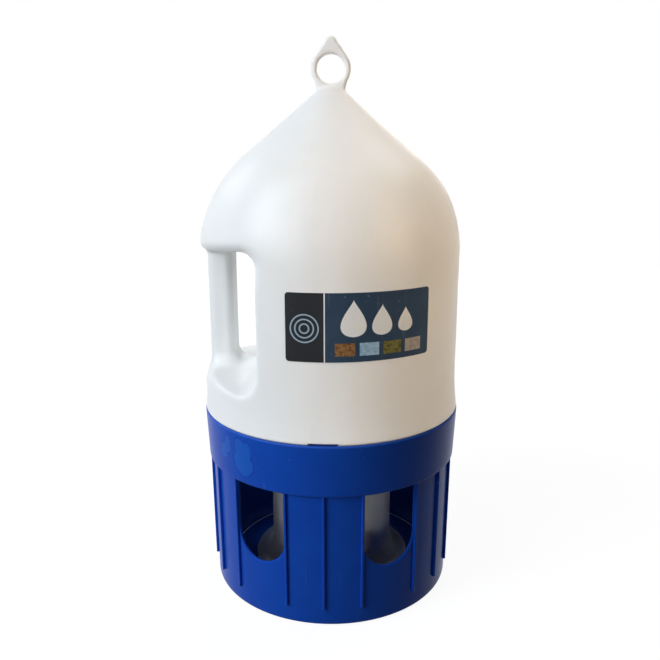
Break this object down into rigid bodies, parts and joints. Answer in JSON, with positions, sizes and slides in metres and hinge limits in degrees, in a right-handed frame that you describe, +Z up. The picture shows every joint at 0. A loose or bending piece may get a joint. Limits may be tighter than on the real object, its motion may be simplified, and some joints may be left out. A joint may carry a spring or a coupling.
{
  "type": "poultry waterer fount",
  "caption": "Vacuum drinker for pigeons and poultry: a milky white reservoir with carry handle and hanging eye stands neck down in a blue base with arched drinking windows.",
  "frame": {"origin": "centre of the base on the ground", "axes": "+Z up along the axis of the base and the reservoir, -Y the front with the label, -X the carry handle"},
  "size_m": [0.1938, 0.1938, 0.4032],
  "materials": {
    "reservoir_white": "milky blow moulded polyethylene, soft sheen",
    "base_blue": "glossy injection moulded polypropylene",
    "foot_white": "white moulded polyethylene, soft sheen",
    "label_film": "printed film, satin"
  },
  "bodies": {
    "base": {"water_trough": "base_blue", "cage_piers": "base_blue", "stiffening_ribs": "base_blue", "seat_collar": "base_blue", "bayonet_lugs": "base_blue"},
    "foot": {"outlet_foot": "foot_white"},
    "reservoir": {"reservoir_floor": "reservoir_white", "plug_skirt": "reservoir_white", "reservoir_wall": "reservoir_white", "reservoir_cone": "reservoir_white", "handle_pocket": "reservoir_white", "outlet_neck": "reservoir_white", "carry_handle": "reservoir_white", "hanging_eye": "reservoir_white", "front_label": "label_film"}
  },
  "joints": [
    {"name": "reservoir_turn", "type": "hinge", "parent": "base", "child": "foot", "pos_m": [0, 0, 0], "axis": [0, 0, 1], "range_deg": [0, 18]},
    {"name": "reservoir_lift", "type": "slide", "parent": "foot", "child": "reservoir", "axis": [0, 0, 1], "range_m": [0, 0.15]}
  ]
}
